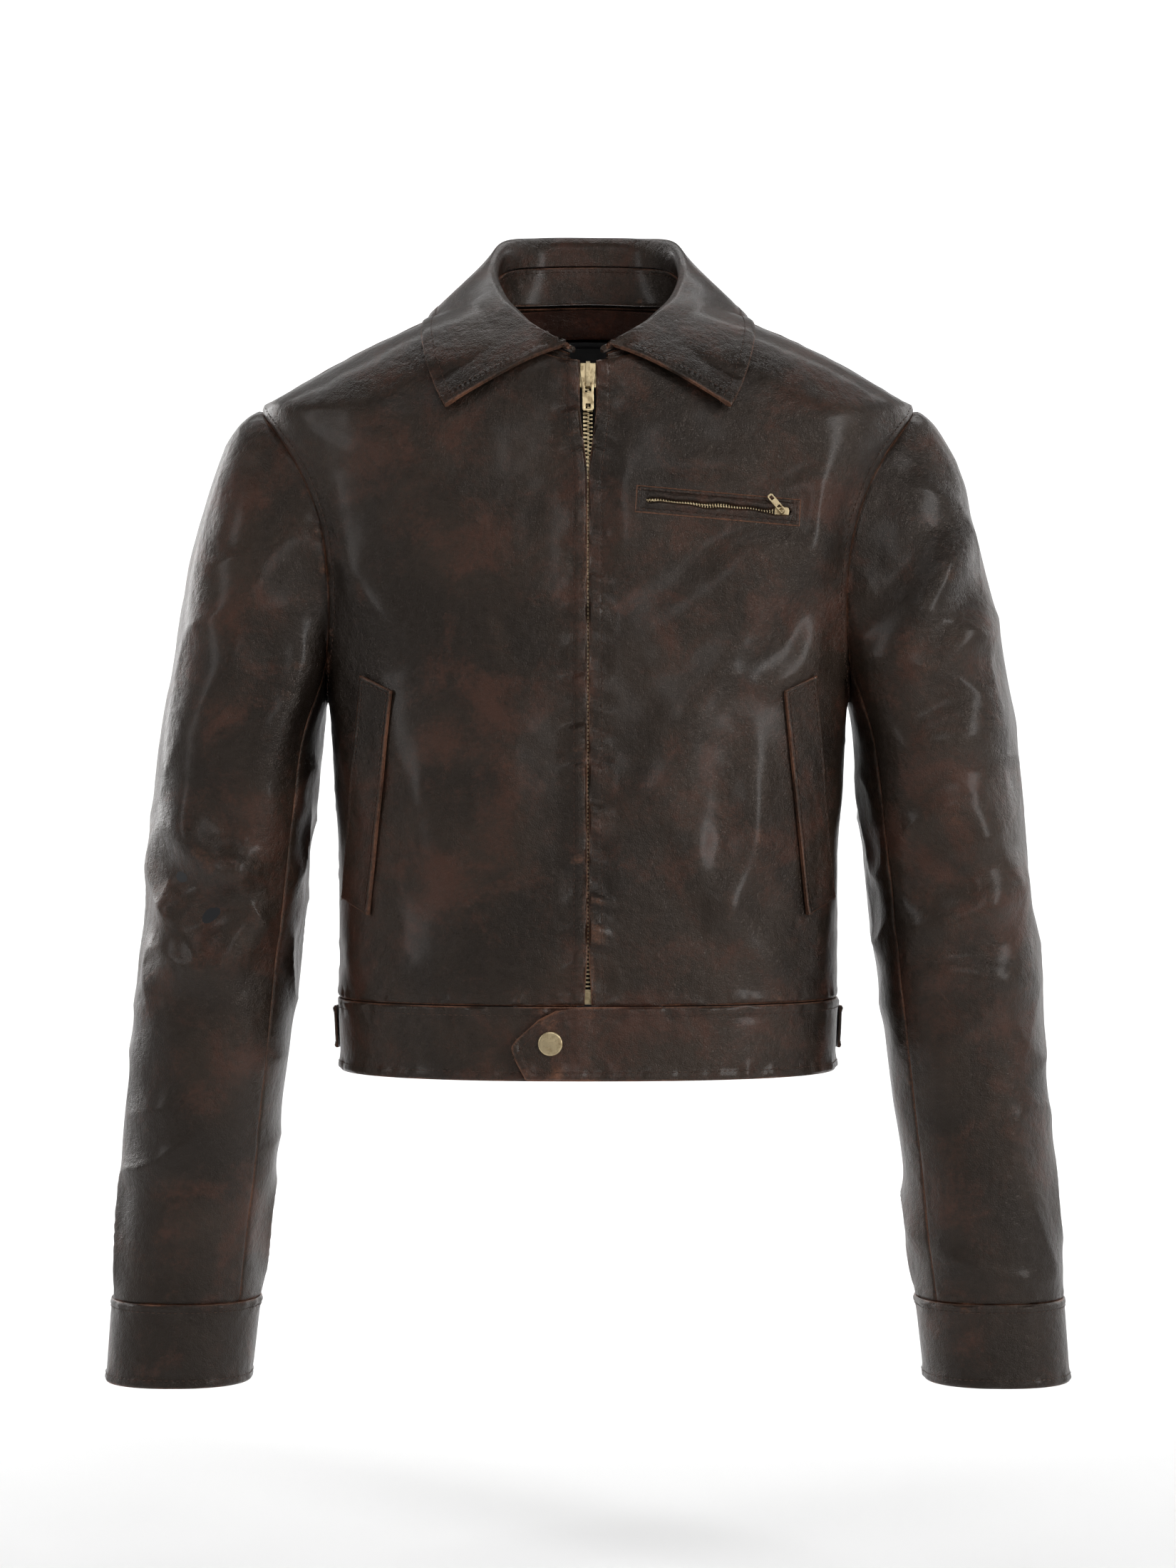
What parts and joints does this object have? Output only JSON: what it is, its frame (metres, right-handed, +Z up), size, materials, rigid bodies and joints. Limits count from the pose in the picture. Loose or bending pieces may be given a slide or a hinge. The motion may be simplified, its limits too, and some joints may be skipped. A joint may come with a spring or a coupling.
{
  "type": "leather riding jacket",
  "caption": "Cropped dark brown leather riding jacket with a shirt collar, a front zip, a zipped chest pocket, welt hand pockets and snap tabs at waist and cuffs.",
  "frame": {"origin": "middle of the neck opening, at the height where the shoulders meet the neck", "axes": "+Z up along the body, the front faces -Y, wearer's left is +X"},
  "size_m": [0.6161, 0.241, 0.7453],
  "materials": {
    "leather": "waxed, worn dark brown with reddish rub-off",
    "facing_leather": "reddish brown, semi-matt",
    "black_lining": "satin weave",
    "zip_tape": "woven tape",
    "label": "plain woven",
    "brass": "antique, brushed"
  },
  "bodies": {
    "jacket": {"left_side_back": "leather", "right_side_back": "leather", "left_back_panel": "leather", "right_back_panel": "leather", "back_yoke": "leather", "waist_snap_stud": "brass", "left_side_stud": "brass", "right_side_stud": "brass", "left_spare_stud": "brass", "right_spare_stud": "brass", "left_band": "leather", "right_band": "leather", "back_band": "leather", "left_upper_sleeve": "leather", "left_under_sleeve": "leather", "left_sleeve_lining": "black_lining", "left_cuff": "leather", "left_cuff_stud": "brass", "right_upper_sleeve": "leather", "right_under_sleeve": "leather", "right_sleeve_lining": "black_lining", "right_cuff": "leather", "right_cuff_stud": "brass", "collar_stand": "leather", "collar_leaf": "leather", "left_zip_half": "zip_tape", "right_zip_half": "zip_tape", "zip_box": "brass", "left_facing": "leather", "right_facing": "leather", "left_front_lining": "black_lining", "right_front_lining": "black_lining", "back_lining": "black_lining", "back_neck_facing": "facing_leather", "neck_label": "label", "chest_pocket_frame": "leather", "chest_zip": "zip_tape", "chest_pocket_bag": "black_lining", "left_hand_pocket_welt": "leather", "right_hand_pocket_welt": "leather", "left_hand_pocket_bag": "black_lining", "right_hand_pocket_bag": "black_lining", "left_front": "leather", "right_front": "leather"},
    "main_slider": {"main_slider": "brass"},
    "main_pull": {"main_pull": "brass"},
    "chest_slider": {"chest_slider": "brass"},
    "chest_pull": {"chest_pull": "brass"},
    "waist_tab": {"waist_tab": "leather", "waist_snap_cap": "brass"},
    "left_side_tab": {"left_side_tab": "leather", "left_side_snap_cap": "brass"},
    "right_side_tab": {"right_side_tab": "leather", "right_side_snap_cap": "brass"},
    "left_cuff_tab": {"left_cuff_tab": "leather", "left_cuff_snap_cap": "brass"},
    "right_cuff_tab": {"right_cuff_tab": "leather", "right_cuff_snap_cap": "brass"}
  },
  "joints": [
    {"name": "main_zip_travel", "type": "slide", "parent": "jacket", "child": "main_slider", "axis": [0, -0.0849, -0.9964], "range_m": [0, 0.366]},
    {"name": "main_pull_swing", "type": "hinge", "parent": "main_slider", "child": "main_pull", "pos_m": [0, -0.08611, -0.06197], "axis": [-1, 0, 0], "range_deg": [0, 150]},
    {"name": "chest_zip_travel", "type": "slide", "parent": "jacket", "child": "chest_slider", "axis": [-0.9894, -0.1235, 0.0762], "range_m": [0, 0.08]},
    {"name": "chest_pull_swing", "type": "hinge", "parent": "chest_slider", "child": "chest_pull", "pos_m": [0.12099, -0.08557, -0.14178], "axis": [0.7455, 0.1532, 0.6487], "range_deg": [0, 130]},
    {"name": "waist_tab_lift", "type": "hinge", "parent": "jacket", "child": "waist_tab", "pos_m": [0.00602, -0.12324, -0.47113], "axis": [0, 0.0849, 0.9964], "range_deg": [0, 100]},
    {"name": "left_side_tab_lift", "type": "hinge", "parent": "jacket", "child": "left_side_tab", "pos_m": [0.16223, -0.00097, -0.46901], "axis": [0, 0, -1], "range_deg": [0, 50]},
    {"name": "right_side_tab_lift", "type": "hinge", "parent": "jacket", "child": "right_side_tab", "pos_m": [-0.16223, -0.00097, -0.46901], "axis": [0, 0, 1], "range_deg": [0, 50]},
    {"name": "left_cuff_tab_lift", "type": "hinge", "parent": "jacket", "child": "left_cuff_tab", "pos_m": [0.30455, 0.00355, -0.66772], "axis": [0.065, -0.0683, -0.9955], "range_deg": [0, 90]},
    {"name": "right_cuff_tab_lift", "type": "hinge", "parent": "jacket", "child": "right_cuff_tab", "pos_m": [-0.28653, 0.02183, -0.66794], "axis": [0.0732, 0.0752, 0.9945], "range_deg": [0, 90]}
  ]
}
